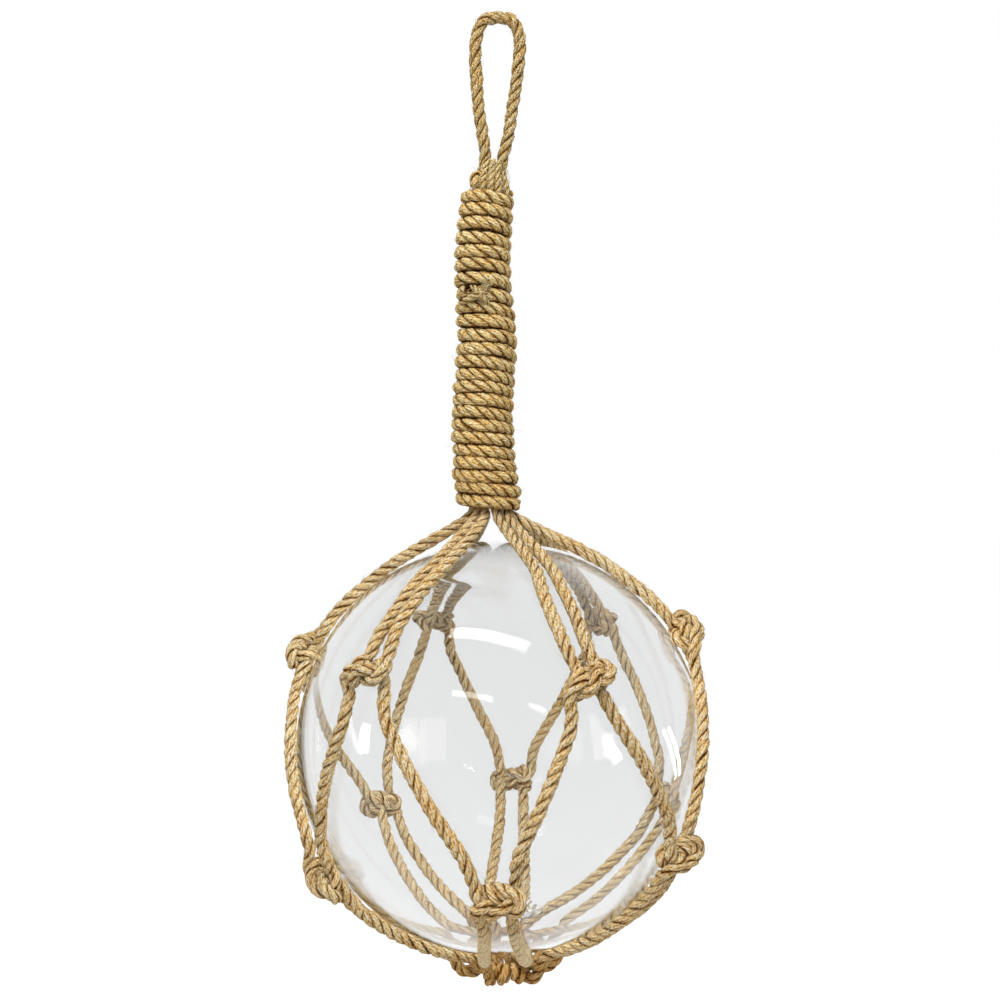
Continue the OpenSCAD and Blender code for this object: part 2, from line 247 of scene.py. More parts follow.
def carried_frames(route):
    """Directions along a route, and two sideways directions carried along it without twist"""
    along = unit(np.gradient(route, axis=0))
    side = np.zeros_like(along)
    start = np.array([0.0, 0.0, 1.0]) if abs(along[0, 2]) < 0.9 else np.array([1.0, 0.0, 0.0])
    for i, direction in enumerate(along):
        start = start - direction * (start @ direction)
        start /= np.linalg.norm(start)
        side[i] = start
    return along, side, np.cross(along, side)


def on_ball(az, lat, r):
    az, lat = math.radians(az), math.radians(lat)
    return np.array([r * math.cos(lat) * math.sin(az), -r * math.cos(lat) * math.cos(az),
                     BALL_Z + r * math.sin(lat)])


def swung(place):
    """The ring under the ball hangs a little to the right: a place turned about the ball's middle"""
    turn = math.radians(BASE_SWING)
    x, y, z = place[0], place[1], place[2] - BALL_Z
    return np.array([x * math.cos(turn) - z * math.sin(turn), y, BALL_Z + x * math.sin(turn) + z * math.cos(turn)])


def near_az(az, other):
    return az - 360 * round((az - other) / 360)


def mix(a, b, share):
    return a + (b - a) * share


class Stem:
    """The stem's sway and the bundle inside its wrapping, as in the part"""
    lower_pitch, upper_pitch, gap = 6.0, 6.6, 0.8
    lower_turns, middle_turns, upper_turns = 12, 4.2, 7.6
    core_bottom, core_top = 10.2, 7.0
    length = (lower_turns + 1) * lower_pitch + (middle_turns + upper_turns) * upper_pitch + 2 * gap

    @classmethod
    def x(cls, share):
        return np.interp(share, *zip(*STEM_SWAY))

    @classmethod
    def core(cls, share):
        return mix(cls.core_bottom, cls.core_top, share)

    @classmethod
    def z(cls, share):
        return STEM_BOTTOM + cls.length * share

    @classmethod
    def leg_ring(cls, share):
        return (cls.core(share) - 0.35) / (1 + math.sin(math.radians(15)))

    @classmethod
    def leg(cls, az, share):
        r, turn = cls.leg_ring(share), math.radians(az)
        return [cls.x(share) + r * math.sin(turn), -r * math.cos(turn), cls.z(share),
                0.97 * r * math.sin(math.radians(15))]


class Net:
    """Routes of the net's cords, as in the part"""

    def __init__(self, rope):
        self.d = rope.diameter
        self.r = self.d / 2
        self.lie = BALL_R + self.r + 0.1
        self.apart = self.r * 1.04
        self.unit = np.array([1.08, 0.5, 0.85]) * self.d
        self.knot_r = self.r * rope.knot_squeeze
        self.knot_off = 1.1 * self.d

    def upper_leg(self, i, side):
        (az, lat), slot = UPPER_KNOTS[i], SLOT_AZ[i]
        points = [Stem.leg(slot + 15 * side, share) for share in (0.97, 0.75, 0.52, 0.36, 0.2, 0.1, 0)]
        neck_az, neck_r = math.radians(mix(az, slot, 0.75)), 13.2
        across = self.apart * 0.9 * side
        points.append([Stem.x(-0.05) + neck_r * math.sin(neck_az) + across * math.cos(neck_az),
                       -neck_r * math.cos(neck_az) + across * math.sin(neck_az), STEM_BOTTOM - 6, self.r * 0.88])
        for step, share, lift, wide in ((63, 0.3, 0.3, 0.3), (55, 0, 0, 0.7), (lat + 19, 0, 0, 1),
                                        (lat + 10, 0, 0.4, 0.6)):
            spread = self.apart * (1 + LEG_SPREAD[i] * wide)
            apart = math.degrees(side * spread / (self.lie * math.cos(math.radians(step))))
            points.append([*on_ball(mix(az, slot, share) + apart, step, self.lie + lift * self.r), self.r])
        return points

    def knot(self, az, lat, side, wide):
        r = BALL_R + self.knot_off
        points = []
        for right, up, out in KNOT_STRAND:
            right, up, out = -side * right * self.unit[0] * wide, up * self.unit[1], -side * out * self.unit[2]
            place = on_ball(az + math.degrees(right / (r * math.cos(math.radians(lat)))),
                            lat + math.degrees(up / r), r + out)
            points.append([*place, self.knot_r])
        return points

    def lying_leg(self, start, end, shares):
        start, end = (unit(place - [0, 0, BALL_Z]) for place in (start, end))
        angle = math.acos(start @ end)
        points = []
        for share, lift in shares:
            way = (math.sin((1 - share) * angle) * start + math.sin(share * angle) * end) / math.sin(angle)
            points.append([*(way * (self.lie + lift * self.r) + [0, 0, BALL_Z]), self.r])
        return points

    def ring_point(self, az, out, down, along, r):
        ring_r, turn = 17.5, math.radians(az)
        drop = math.sqrt((BALL_R + 3 * self.r + 0.2) ** 2 - ring_r ** 2)
        return [*swung([(ring_r + out) * math.sin(turn) + along * math.cos(turn),
                        -(ring_r + out) * math.cos(turn) + along * math.sin(turn), BALL_Z - drop - down]), r]

    def ring_turn(self, az, size):
        d = self.d + 0.1
        steps = ((1.2, -1.26, -0.62, 1), (0.1, -1.04, -0.5, 0.94), (-0.98, -0.7, -0.25, 0.88),
                 (-1.1, 0.6, 0, 0.88), (-0.2, 1.15, 0.2, 0.96), (0.9, 0.9, 0.4, 1), (1.25, 0, 0.58, 1),
                 (1.9, -0.75, 0.62, 1))
        return [self.ring_point(az, out * d * size, down * d * size, along * d, r * self.r)
                for out, down, along, r in steps]

    def half_cord(self, i, side):
        az, lat = UPPER_KNOTS[i]
        low = i if side > 0 else (i + 5) % 6
        low_az, low_lat = LOWER_KNOTS[low]
        low_az = near_az(low_az, az)
        beside = math.degrees(side * 1.3 * self.apart / (self.lie * math.cos(math.radians(low_lat))))
        return (self.upper_leg(i, side) + self.knot(az, lat, side, UPPER_SHAPE[i][1])
                + self.lying_leg(on_ball(az, lat, BALL_R), on_ball(low_az, low_lat, BALL_R),
                                 ((0.15, 0.6), (0.27, 0.1), (0.42, 0), (0.58, 0), (0.73, 0.1), (0.85, 0.6)))
                + self.knot(low_az, low_lat, -side, LOWER_SHAPE[low][1])
                + self.lying_leg(on_ball(low_az - beside, low_lat, BALL_R),
                                 swung(on_ball(SLOT_AZ[i] + side * 10, -73, BALL_R)),
                                 ((0.2, 0.7), (0.4, 0.2), (0.6, 0), (0.8, 0), (1, 0))))

    def cord(self, i):
        turn = self.ring_turn(SLOT_AZ[i], TURN_SIZE[i])
        return np.array(self.half_cord(i, -1) + turn + self.half_cord(i, 1)[::-1])

    def base_ring(self):
        tail = ((0.3, 0.66, 1.1, 0.9), (0.5, 0.52, 1.2, 1.25), (0.52, 0.2, 1.25, 1.35), (0.45, -0.1, 1.1, 1.25))
        tails = {side: [self.ring_point(4, out * self.d, down * self.d, side * along * self.r, r * self.r)
                        for out, down, along, r in tail]
                 for side in (-1, 1)}
        around = [self.ring_point(-8 - k * 344 / 20, 0, 0, 0, self.r) for k in range(21)]
        return np.array(tails[-1] + around + tails[1][::-1])


def wrap_route(low, az_from, turns, pitch, rope_r, seed):
    """Turns wound about the stem by hand, upwards from a height and an azimuth, their front pushed up a little"""
    random = np.random.default_rng(seed)
    angle = np.linspace(-0.62 * JOIN, turns + 0.62 * JOIN, int(turns * 28))
    z = low + pitch * np.clip(angle, 0, turns)
    share = (z - STEM_BOTTOM) / Stem.length
    az = np.radians(az_from - 360 * angle)
    places = angle - angle[0]
    r = Stem.core(share) + 0.1 + rope_r + drift(random, places, 0.11, 0.36)
    z = z + np.interp(share, (0, 0.12, 0.3, 0.85, 1), (0, 0.9, 1.5, 1.5, 0.9)) * np.cos(az)
    z = z + drift(random, places, 0.17, 0.36)
    girth = rope_r * (1 + drift(random, places, 0.15, 0.035))
    return np.stack([Stem.x(share) + r * np.sin(az), -r * np.cos(az), z, girth], axis=1)


def wrap_routes(rope_r):
    lower = STEM_BOTTOM + Stem.lower_pitch / 2
    middle = lower + Stem.lower_turns * Stem.lower_pitch + Stem.gap
    upper = middle + Stem.middle_turns * Stem.upper_pitch + Stem.gap
    lower_az = 60
    middle_az = lower_az - 360 * Stem.lower_turns - JOIN_ANGLE
    upper_az = middle_az - 360 * Stem.middle_turns - JOIN_ANGLE
    return {"wrap_lower": wrap_route(lower, lower_az, Stem.lower_turns, Stem.lower_pitch, rope_r, 1),
            "wrap_middle": wrap_route(middle, middle_az, Stem.middle_turns - JOIN, Stem.upper_pitch, rope_r, 2),
            "wrap_upper": wrap_route(upper, upper_az, Stem.upper_turns - JOIN, Stem.upper_pitch, rope_r, 3)}


def loop_route(rope_r):
    half_w, length, middle = 7.7 + rope_r, 76.0, -1.0

    def inside(side):
        points = []
        for share in (0.7, 0.8, 0.92, 1):
            room = Stem.leg_ring(share) * (1 - math.sin(math.radians(15))) / 2
            points.append([Stem.x(share) + side * (room - 0.1), 0, Stem.z(share), room - 0.2])
        return points

    def run(points):
        return [[middle + x * half_w, 0, z * length, rope_r] for x, z in points]

    top = [[middle - 0.3 * half_w, 0, rope_r + 0.2, rope_r], [middle + 0.3 * half_w, 0, rope_r + 0.2, rope_r]]
    return np.array(inside(-1) + run(LOOP_LEFT) + top + run(LOOP_RIGHT)[::-1] + inside(1)[::-1])


def strand_mesh(centre, deep, wide, sides, seam):
    """A tube of oval rings about one strand, deep towards the seam, which is its hidden side, and wide across"""
    along = unit(np.gradient(centre, axis=0))
    side = unit(seam - along * np.sum(seam * along, axis=1, keepdims=True))
    up = np.cross(along, side)
    turn = np.arange(sides) * 2 * math.pi / sides
    ring = (centre[:, None] + np.cos(turn)[None, :, None] * (side * deep[:, None])[:, None]
            + np.sin(turn)[None, :, None] * (up * wide[:, None])[:, None])
    return ring.reshape(-1, 3)


def tube_quads(rings, sides, first):
    i, k = np.meshgrid(np.arange(rings - 1), np.arange(sides), indexing="ij")
    n = (k + 1) % sides
    a = i * sides
    b = a + sides
    return first + np.stack([a + k, a + n, b + n, b + k], axis=-1).reshape(-1, 4), (i.ravel(), k.ravel())


def pull_tight(strands, gap, rounds, inwards, still=-1):
    """Pulls strands tight: they shorten, are pressed inwards, keep a rope's width apart and stay off the ball; one
    may be kept still"""
    middle = np.array([0, 0, BALL_Z])
    for step in range(rounds):
        points = np.vstack(strands)
        counts = [len(strand) for strand in strands]
        owner = np.repeat(np.arange(len(strands)), counts)
        place = np.concatenate([np.arange(n) for n in counts])
        held = (place < 2) | (place >= np.repeat(counts, counts) - 2) | (owner == still)
        apart = (owner[:, None] != owner) | (np.abs(place[:, None] - place) * PACE > gap * 1.6)
        bend = np.zeros_like(points)
        bend[1:-1] = points[:-2] + points[2:] - 2 * points[1:-1]
        bend[held] = 0
        stiff = np.zeros_like(points)
        stiff[1:-1] = bend[:-2] + bend[2:] - 2 * bend[1:-1]
        stiff[held] = 0
        points = points + TENSION * bend - STIFFNESS * stiff + np.where(held[:, None], 0, inwards(points))
        for _ in range(2):
            between = points[:, None] - points
            far = np.linalg.norm(between, axis=2)
            over = np.where(apart & (far < gap), (gap - far) / np.maximum(far, 1e-6), 0)
            push = (between * over[:, :, None]).sum(axis=1) / np.sqrt(np.maximum((over > 0).sum(axis=1), 1))[:, None]
            points = points + np.where(held[:, None], 0, PUSH * push)
            out = points - middle
            height = np.linalg.norm(out, axis=1, keepdims=True)
            points = middle + out * np.maximum(1, (BALL_R + 0.52 * gap) / height)
        strands = np.split(points, np.cumsum(counts)[:-1])
        if step % 8 == 7:
            strands = [np.vstack([s[:1], resample(s[1:-1], PACE)[0], s[-1:]]) for s in strands]
    return strands


def spans_near(cords, middle, reach, core):
    """The parts of the cords within reach of a place that pass within its core: cord, start and end"""
    spans = []
    for n, cord in enumerate(cords):
        far = np.linalg.norm(cord[:, :3] - middle, axis=1)
        near = np.flatnonzero(far < reach)
        for span in np.split(near, np.flatnonzero(np.diff(near) > 1) + 1):
            if len(span) and far[span].min() < core:
                spans.append((n, span[0], span[-1] + 1))
    return spans


def put_back(cords, spans, strands, middle, radii):
    """Puts tightened strands back in their cords, with a radius that goes by the distance from the middle"""
    for (n, start, end), strand in sorted(zip(spans, strands), key=lambda pair: -pair[0][1]):
        radius = np.interp(np.linalg.norm(strand - middle, axis=1), *radii)
        cords[n] = np.vstack([cords[n][:start], np.column_stack([strand, radius]), cords[n][end:]])


def tie_knots(cords, knots, rope):
    """Pulls each knot of the net tight about its place (azimuth, latitude and lean), where two strands cross"""
    r = rope.diameter / 2
    for az, lat, lean in knots:
        middle = on_ball(az, lat, BALL_R + 1.15 * rope.diameter)
        out = unit(middle - [0, 0, BALL_Z])
        up = unit(np.array([0, 0, 1]) - out * out[2])
        up = up * math.cos(math.radians(lean)) + np.cross(out, up) * math.sin(math.radians(lean))
        spans = spans_near(cords, middle, KNOT_REACH, KNOT_CORE)
        strands = []
        for n, start, end in spans:
            strand = resample(cords[n][start:end, :3], PACE)[0]
            from_middle = strand - middle
            share = np.clip(1.4 - np.linalg.norm(from_middle, axis=1) / 13, 0, 1)[:, None] * math.radians(lean)
            strands.append(middle + from_middle * np.cos(share) + np.cross(out, from_middle) * np.sin(share)
                           + out * (from_middle @ out)[:, None] * (1 - np.cos(share)))

        def squash(points):
            inwards = middle - points
            near = np.exp(-(inwards ** 2).sum(axis=1, keepdims=True) / KNOT_CORE ** 2)
            level = (inwards @ up)[:, None] * up
            home = (near * inwards).sum(axis=0) / near.sum()
            return near * (0.2 * level + 0.02 * (inwards - level) + 0.25 * home)

        strands = pull_tight(strands, KNOT_PRESS * rope.diameter, KNOT_ROUNDS, squash)
        put_back(cords, spans, strands, middle, ((KNOT_CORE, 15), (r * rope.knot_squeeze, r)))


def tie_base(cords, rope):
    """Pulls the cords' turns tight about the ring under the ball, which is the last of the cords"""
    r = rope.diameter / 2
    middle = swung((0, 0, BALL_Z - BALL_R - 6))
    spans = spans_near(cords, middle, BASE_REACH, BASE_CORE)
    strands = [resample(cords[n][start:end, :3], PACE)[0] for n, start, end in spans]
    strands = pull_tight(strands, BASE_PRESS * rope.diameter, BASE_ROUNDS,
                         lambda points: 0.05 * unit([0, 0, BALL_Z] - points), len(strands) - 1)
    put_back(cords[:-1], spans[:-1], strands[:-1], middle, ((24, 34), (r * 1.3, r)))


class RopeMesh:
    """Gathers strands and loose fibres into one mesh with a UV map and a depth attribute"""

    def __init__(self):
        self.points, self.faces, self.uvs, self.depth, self.count = [], [], [], [], 0

    def add_tube(self, rings, sides, points, along, depth, tag, girth=1.0):
        quads, (i, k) = tube_quads(rings, sides, self.count)
        u = np.stack([along[i], along[i], along[i + 1], along[i + 1]], axis=1) + 1000.0 * tag
        v = np.stack([k, k + 1, k + 1, k], axis=1) * girth / sides
        self.faces += quads.tolist()
        self.uvs.append(np.stack([u, v], axis=-1).reshape(-1, 2))
        for end, ring in ((0, range(sides)), (rings - 1, reversed(range(sides)))):
            self.faces.append([self.count + end * sides + n for n in reversed(list(ring))])
            self.uvs.append(np.full((sides, 2), 0.5) + [along[end] + 1000.0 * tag, 0])
        self.points.append(points)
        self.depth.append(depth)
        self.count += len(points)

    def add_rope(self, route, settings, seed, reach=99.0, lay=1.0, beside=False):
        """Three strands laid right-handed about a route of [x, y, z, radius], then its loose fibres; beside is for
        turns that lie against each other, with painted shade where they meet"""
        random = np.random.default_rng(seed)
        route, places = resample(route, settings.ring_step)
        centre, radius = route[:, :3], route[:, 3] * (1 + drift(random, places, 14, 0.025))
        along, side, up = carried_frames(centre)
        phase = 2 * math.pi * (places / (lay * settings.lay) + random.random()) + drift(random, places, 13, 0.3)
        for strand in range(3):
            turn = phase + strand * 2 * math.pi / 3 + drift(random, places, 9, 0.1)
            out = np.cos(turn)[:, None] * side + np.sin(turn)[:, None] * up
            swell = 1 + drift(random, places, 5, 0.06)
            middle = centre + out * (radius * (0.54 + drift(random, places, 6, 0.02)))[:, None]
            tube = strand_mesh(middle, radius * 0.465 * swell, radius * 0.55 * swell, settings.sides, -out)
            ring = tube.reshape(len(centre), -1, 3)
            off = np.linalg.norm(ring - centre[:, None], axis=2) / radius[:, None]
            ring += unit(ring - middle[:, None]) * random.normal(0, settings.lumps, off.shape)[:, :, None]
            # How deep a point sits between the strands, which the jute material paints as shade; turns that lie
            # beside each other also get painted shade where they meet
            deep = (1.0 - off) / 0.42
            if beside:
                high = (ring[:, :, 2] - centre[:, None, 2]) * 1.08
                ring[:, :, 2] = centre[:, None, 2] + high
                deep = np.maximum(deep, (np.abs(high) / radius[:, None] - 0.82) / 0.26)
            self.add_tube(len(centre), settings.sides, ring.reshape(-1, 3), places, np.clip(deep, 0, 1).ravel(),
                          random.integers(1, 900))
        self.add_fuzz(centre, radius, along, side, up, places, settings, random, reach)

    def add_hair(self, hair, thick, place, random):
        """One loose fibre along a few points, thinner to its end"""
        count = len(hair)
        width = thick * np.linspace(1, 0.4, count)
        along = unit(np.gradient(hair, axis=0))
        tube = strand_mesh(hair, width, width, 3, np.cross(along, random.normal(size=3)))
        self.add_tube(count, 3, tube, place + np.linspace(0, np.linalg.norm(hair[-1] - hair[0]), count),
                      np.zeros(3 * count), random.integers(900, 999), 0.05)

    def add_fuzz(self, centre, radius, along, side, up, places, settings, random, reach):
        """Loose fibres that leave the rope at a low angle and curl, and stay within reach of its middle"""
        for _ in range(int(places[-1] * settings.fuzz_per_mm)):
            i = random.integers(1, len(centre) - 1)
            turn = random.random() * 2 * math.pi
            out = math.cos(turn) * side[i] + math.sin(turn) * up[i]
            length = settings.fuzz_length * random.gamma(4, 0.25)
            way = along[i] * random.choice([-1, 1]) * random.uniform(0.7, 1) + out * random.uniform(0.05, 0.45)
            way = way / np.linalg.norm(way)
            bend = np.cross(way, random.normal(size=3)) * random.uniform(0.1, 0.7)
            t = np.linspace(0, 1, 3)[:, None]
            hair = centre[i] + out * radius[i] * 0.93 + length * (way * t + bend * t * t * 0.5)
            while np.linalg.norm(hair[-1] - centre[i] - along[i] * ((hair[-1] - centre[i]) @ along[i])) > reach:
                hair = hair[0] + (hair - hair[0]) * 0.8
            self.add_hair(hair, 0.07 * random.uniform(0.7, 1.3), places[i], random)

    def add_tuft(self, starts, ends, count, spread, thick, seed):
        """A frayed bunch: fibres from one line to another, each line given by its two ends"""
        random = np.random.default_rng(seed)
        (a, b), (c, d) = np.array(starts, float), np.array(ends, float)
        for n in range(count):
            share = random.random()
            start = mix(a, b, share) + random.normal(0, spread, 3)
            end = mix(c, d, np.clip(share + random.normal(0, 0.12), 0, 1)) + random.normal(0, spread, 3)
            t = np.linspace(0, 1, 6)[:, None]
            curl = random.normal(0, 0.09, 3) * np.linalg.norm(end - start)
            hair = start * (1 - t) + end * t + curl * np.sin(t * math.pi) + random.normal(0, 0.12, (6, 3))
            self.add_hair(hair, thick * random.uniform(0.6, 1.3), n % 19, random)

    def build(self, name):
        mesh = bpy.data.meshes.new(name)
        mesh.from_pydata((np.vstack(self.points) * MM).tolist(), [], self.faces)
        uv = mesh.uv_layers.new(name="fibre")
        uv.data.foreach_set("uv", np.vstack(self.uvs).astype(np.float32).ravel())
        depth = mesh.attributes.new("depth", "FLOAT", "POINT")
        depth.data.foreach_set("value", np.concatenate(self.depth).astype(np.float32))
        mesh.shade_smooth()
        mesh.update()
        piece = bpy.data.objects.new(name, mesh)
        bpy.context.scene.collection.objects.link(piece)
        return piece


# The sun-bleached part of the two front legs: its middle, and where it starts and ends to fade, in metres
BLEACHED_AT, BLEACHED_IN, BLEACHED_OUT = (0.001, -0.066, -0.434), 0.022, 0.037
# What multiplies the jute's colour: in brown patches, near a gap as painted shade, and under the ball as painted
# shade
BROWNER, GAP_SHADE_TINT, UNDER_BALL_SHADE = (1.0, 0.8, 0.58, 1), (0.85, 0.6, 0.3, 1), (0.76, 0.6, 0.4, 1)
FADED = (1.0, 0.82, 0.52, 1)
# A strand's girth, and how far a fibre that runs along the rope turns back each millimetre
STRAND_GIRTH, FIBRE_SLANT = 10.8, 0.8


class Value:
    """A number socket that adds Math nodes when it is used in an expression"""

    def __init__(self, maker, socket):
        self.maker, self.socket = maker, socket

    def math(self, operation, *others):
        return self.maker.value("ShaderNodeMath", {"operation": operation}, (self, *others))

    def __add__(self, other): return self.math("ADD", other)
    def __mul__(self, other): return self.math("MULTIPLY", other)
    def __sub__(self, other): return self.math("SUBTRACT", other)
    def __rsub__(self, other): return self * -1 + other
    def sine(self): return self.math("SINE")

    __radd__, __rmul__ = __add__, __mul__


class Maker:
    """Adds nodes to one material, or to the world"""

    def __init__(self, owner):
        self.material = bpy.data.materials.new(owner) if isinstance(owner, str) else owner
        self.material.use_nodes = True
        self.nodes, self.links = self.material.node_tree.nodes, self.material.node_tree.links
        self.nodes.clear()

    def seen_rays(self):
        """1 for what the camera sees, straight, mirrored or through glass"""
        path = self.node("ShaderNodeLightPath")
        camera, glossy, through = (Value(self, path.outputs[f"Is {kind} Ray"])
                                   for kind in ("Camera", "Glossy", "Transmission"))
        return camera.math("MAXIMUM", glossy.math("MAXIMUM", through))

    def node(self, kind, settings=None, inputs=()):
        node = self.nodes.new(kind)
        for key, value in (settings or {}).items():
            if key == "stops":
                for n, (place, colour) in enumerate(value):
                    stop = node.color_ramp.elements[n] if n < 2 else node.color_ramp.elements.new(place)
                    stop.position, stop.color = place, (*colour, 1)
            else:
                setattr(node, key, value)
        pairs = inputs.items() if isinstance(inputs, dict) else enumerate(inputs)
        for key, value in pairs:
            value = getattr(value, "socket", value)
            if isinstance(value, bpy.types.NodeSocket):
                self.links.new(value, node.inputs[key])
            else:
                node.inputs[key].default_value = value
        return node

    def value(self, kind, settings=None, inputs=(), output=0):
        return Value(self, self.node(kind, settings, inputs).outputs[output])

    def ramp(self, value, start, end, low=0.0, high=1.0, kind="LINEAR"):
        """From low, where the value is at start, to high, where it is at end"""
        return self.value("ShaderNodeMapRange", {"interpolation_type": kind},
                          {0: value, 1: start, 2: end, 3: low, 4: high})

    def blend(self, share, a, b, mode="MIX"):
        return self.value("ShaderNodeMix", {"data_type": "RGBA", "blend_type": mode}, {0: share, 6: a, 7: b}, 2)


def jute_material(name, tone=(1, 1, 1)):
    """Jute: pale and dark fibres along the rope, painted brown shade deep between strands and turns, and under the
    ball
    """
    colours = bpy.context.scene.ball_colours
    m = Maker(name)
    uv = m.node("ShaderNodeUVMap", {"uv_map": "fibre"})
    parts = m.node("ShaderNodeSeparateXYZ", inputs=(uv.outputs[0],))
    u, v = Value(m, parts.outputs[0]), Value(m, parts.outputs[1])
    depth = m.value("ShaderNodeAttribute", {"attribute_name": "depth"}, output=2)
    across = v * STRAND_GIRTH + u * FIBRE_SLANT

    def fibres(length, width, seed, detail):
        at = m.node("ShaderNodeCombineXYZ", inputs=(u * (1 / length), across * (1 / width), seed)).outputs[0]
        return m.value("ShaderNodeTexNoise", {}, {"Vector": at, "Scale": 1.0, "Detail": detail, "Roughness": 0.75})

    # The tone paints shade on a copy of the jute, for the wrapping and the loop
    def toned(colour):
        return tuple(c * t for c, t in zip(colour, tone))

    fine, coarse = fibres(1.7, 0.7, 0.0, 3.0), fibres(7.0, 1.5, 4.0, 1.0)
    tuft, speck, hue = fibres(1.5, 1.5, 9.0, 1.0), fibres(1.0, 0.85, 17.0, 1.0), fibres(1.8, 1.1, 23.0, 1.0)
    yarn = (across * (2 * math.pi / 1.6) + coarse * 6.0).sine() * 0.5 + 0.5
    place = m.node("ShaderNodeTexCoord").outputs["Object"]
    patch = m.value("ShaderNodeTexNoise", {}, {"Vector": place, "Scale": 38.0, "Detail": 2.0})
    blotch = m.value("ShaderNodeTexNoise", {}, {"Vector": place, "Scale": 260.0, "Detail": 1.0})
    light = m.ramp(fine * 0.45 + speck * 0.4 + coarse * 0.08 + yarn * 0.07, 0.41, 0.595)
    body = m.node("ShaderNodeValToRGB", {"stops": ((0.0, toned(colours.dark)), (1.0, toned(colours.pale)),
                                                   (0.42, toned(colours.straw)))}, (light,)).outputs[0]
    browner = m.blend(1.0, body, BROWNER, "MULTIPLY")
    aged = m.blend(m.ramp(patch * 0.25 + blotch * 0.3 + hue * 0.45, 0.42, 0.62), body, browner)
    # Painted shade between the strands and between turns that lie beside each other, by the depth attribute: first a
    # brown tint, then the shade colour, uneven along the rope
    gap = m.ramp(depth, 0.1, 0.75, kind="SMOOTHSTEP")
    uneven = m.ramp(tuft, 0.36, 0.56, low=0.25)
    gap_shaded = m.blend(gap, aged, m.blend(1.0, aged, GAP_SHADE_TINT, "MULTIPLY"))
    colour = m.blend(gap * uneven, gap_shaded, (*toned(colours.shade), 1))
    bump = m.node("ShaderNodeBump", {}, {"Strength": 1.0, "Distance": 0.0007,
                                         "Height": fine * 0.8 + speck * 0.5 + yarn * 0.3 + coarse * 0.4})
    height = m.value("ShaderNodeSeparateXYZ", {}, (place,), 2)
    # Painted shade under the ball: the jute turns darker below the ball's bottom
    under_ball_shade = m.ramp(height, (BALL_Z - BALL_R + 5) * MM, (BALL_Z - BALL_R - 5) * MM, kind="SMOOTHSTEP")
    colour = m.blend(under_ball_shade, colour, m.blend(1.0, colour, UNDER_BALL_SHADE, "MULTIPLY"))
    from_legs = m.value("ShaderNodeVectorMath", {"operation": "DISTANCE"}, (place, BLEACHED_AT), 1)
    bleached = m.ramp(from_legs, BLEACHED_OUT, BLEACHED_IN, high=0.6, kind="SMOOTHSTEP")
    colour = m.blend(bleached, colour, m.blend(0.7, aged, FADED))
    shader = m.node("ShaderNodeBsdfPrincipled", {}, {"Base Color": colour, "Roughness": 0.85,
                                                     "Specular IOR Level": 0.04, "Normal": bump.outputs[0]})
    m.node("ShaderNodeOutputMaterial", {}, (shader.outputs[0],))
    return m.material


def glass_material(name):
    """Clear glass that lets the lamps through to what is behind it"""
    colours = bpy.context.scene.ball_colours
    m = Maker(name)
    glass = m.node("ShaderNodeBsdfPrincipled", {}, {"Base Color": (*colours.glass, 1), "Roughness": 0.0,
                                                    "IOR": 1.5, "Transmission Weight": 1.0,
                                                    "Specular Tint": (0.18, 0.18, 0.18, 1)})
    clear = m.node("ShaderNodeBsdfTransparent", {}, ((0.93, 0.935, 0.935, 1),))
    shadow = m.node("ShaderNodeLightPath").outputs["Is Shadow Ray"]
    both = m.node("ShaderNodeMixShader", {}, (shadow, glass.outputs[0], clear.outputs[0]))
    m.node("ShaderNodeOutputMaterial", {}, (both.outputs[0],))
    return m.material


def floor_material(lift):
    """A pale floor that is lifted to white where it is seen, and still takes the shadow"""
    m = Maker("floor")
    plain = m.node("ShaderNodeBsdfDiffuse", {}, ((0.8, 0.8, 0.8, 1),))
    soft = m.node("ShaderNodeBsdfDiffuse", {}, ((0.4, 0.4, 0.4, 1),))
    glow = m.node("ShaderNodeEmission", {}, ((1, 1, 1, 1), lift))
    lifted = m.node("ShaderNodeAddShader", {}, (soft.outputs[0], glow.outputs[0]))
    both = m.node("ShaderNodeMixShader", {}, (m.seen_rays(), plain.outputs[0], lifted.outputs[0]))
    m.node("ShaderNodeOutputMaterial", {}, (both.outputs[0],))
    return m.material


def finish_piece(piece, node, material):
    piece.data.materials.append(material)
    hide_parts(node)
    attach(piece, "root")


class BALL_OT_net(bpy.types.Operator):
    """Lay the six net cords and the ring under the ball"""
    bl_idname = "ball.net"
    bl_label = "Net"

    def execute(self, context):
        rope = context.scene.ball_rope
        net = Net(rope)
        material = jute_material("jute_net")
        knots = [(*knot, lean) for knot, (lean, _) in zip(UPPER_KNOTS + LOWER_KNOTS, UPPER_SHAPE + LOWER_SHAPE)]
        cords = [chaikin(net.cord(i), 3) for i in range(6)]
        tie_knots(cords, knots, rope)
        cords.append(chaikin(net.base_ring(), 3))
        tie_base(cords, rope)
        nodes = [f"net_cord_{i + 1}" for i in range(6)] + ["base_ring"]
        for n, (node, route) in enumerate(zip(nodes, cords)):
            mesh = RopeMesh()
            mesh.add_rope(chaikin(route, 1), rope, 10 + n)
            if node == "base_ring":
                for tuft in BASE_TUFTS:
                    mesh.add_tuft(*tuft)
            finish_piece(mesh.build(f"{node}_rope"), node, material)
        return {"FINISHED"}


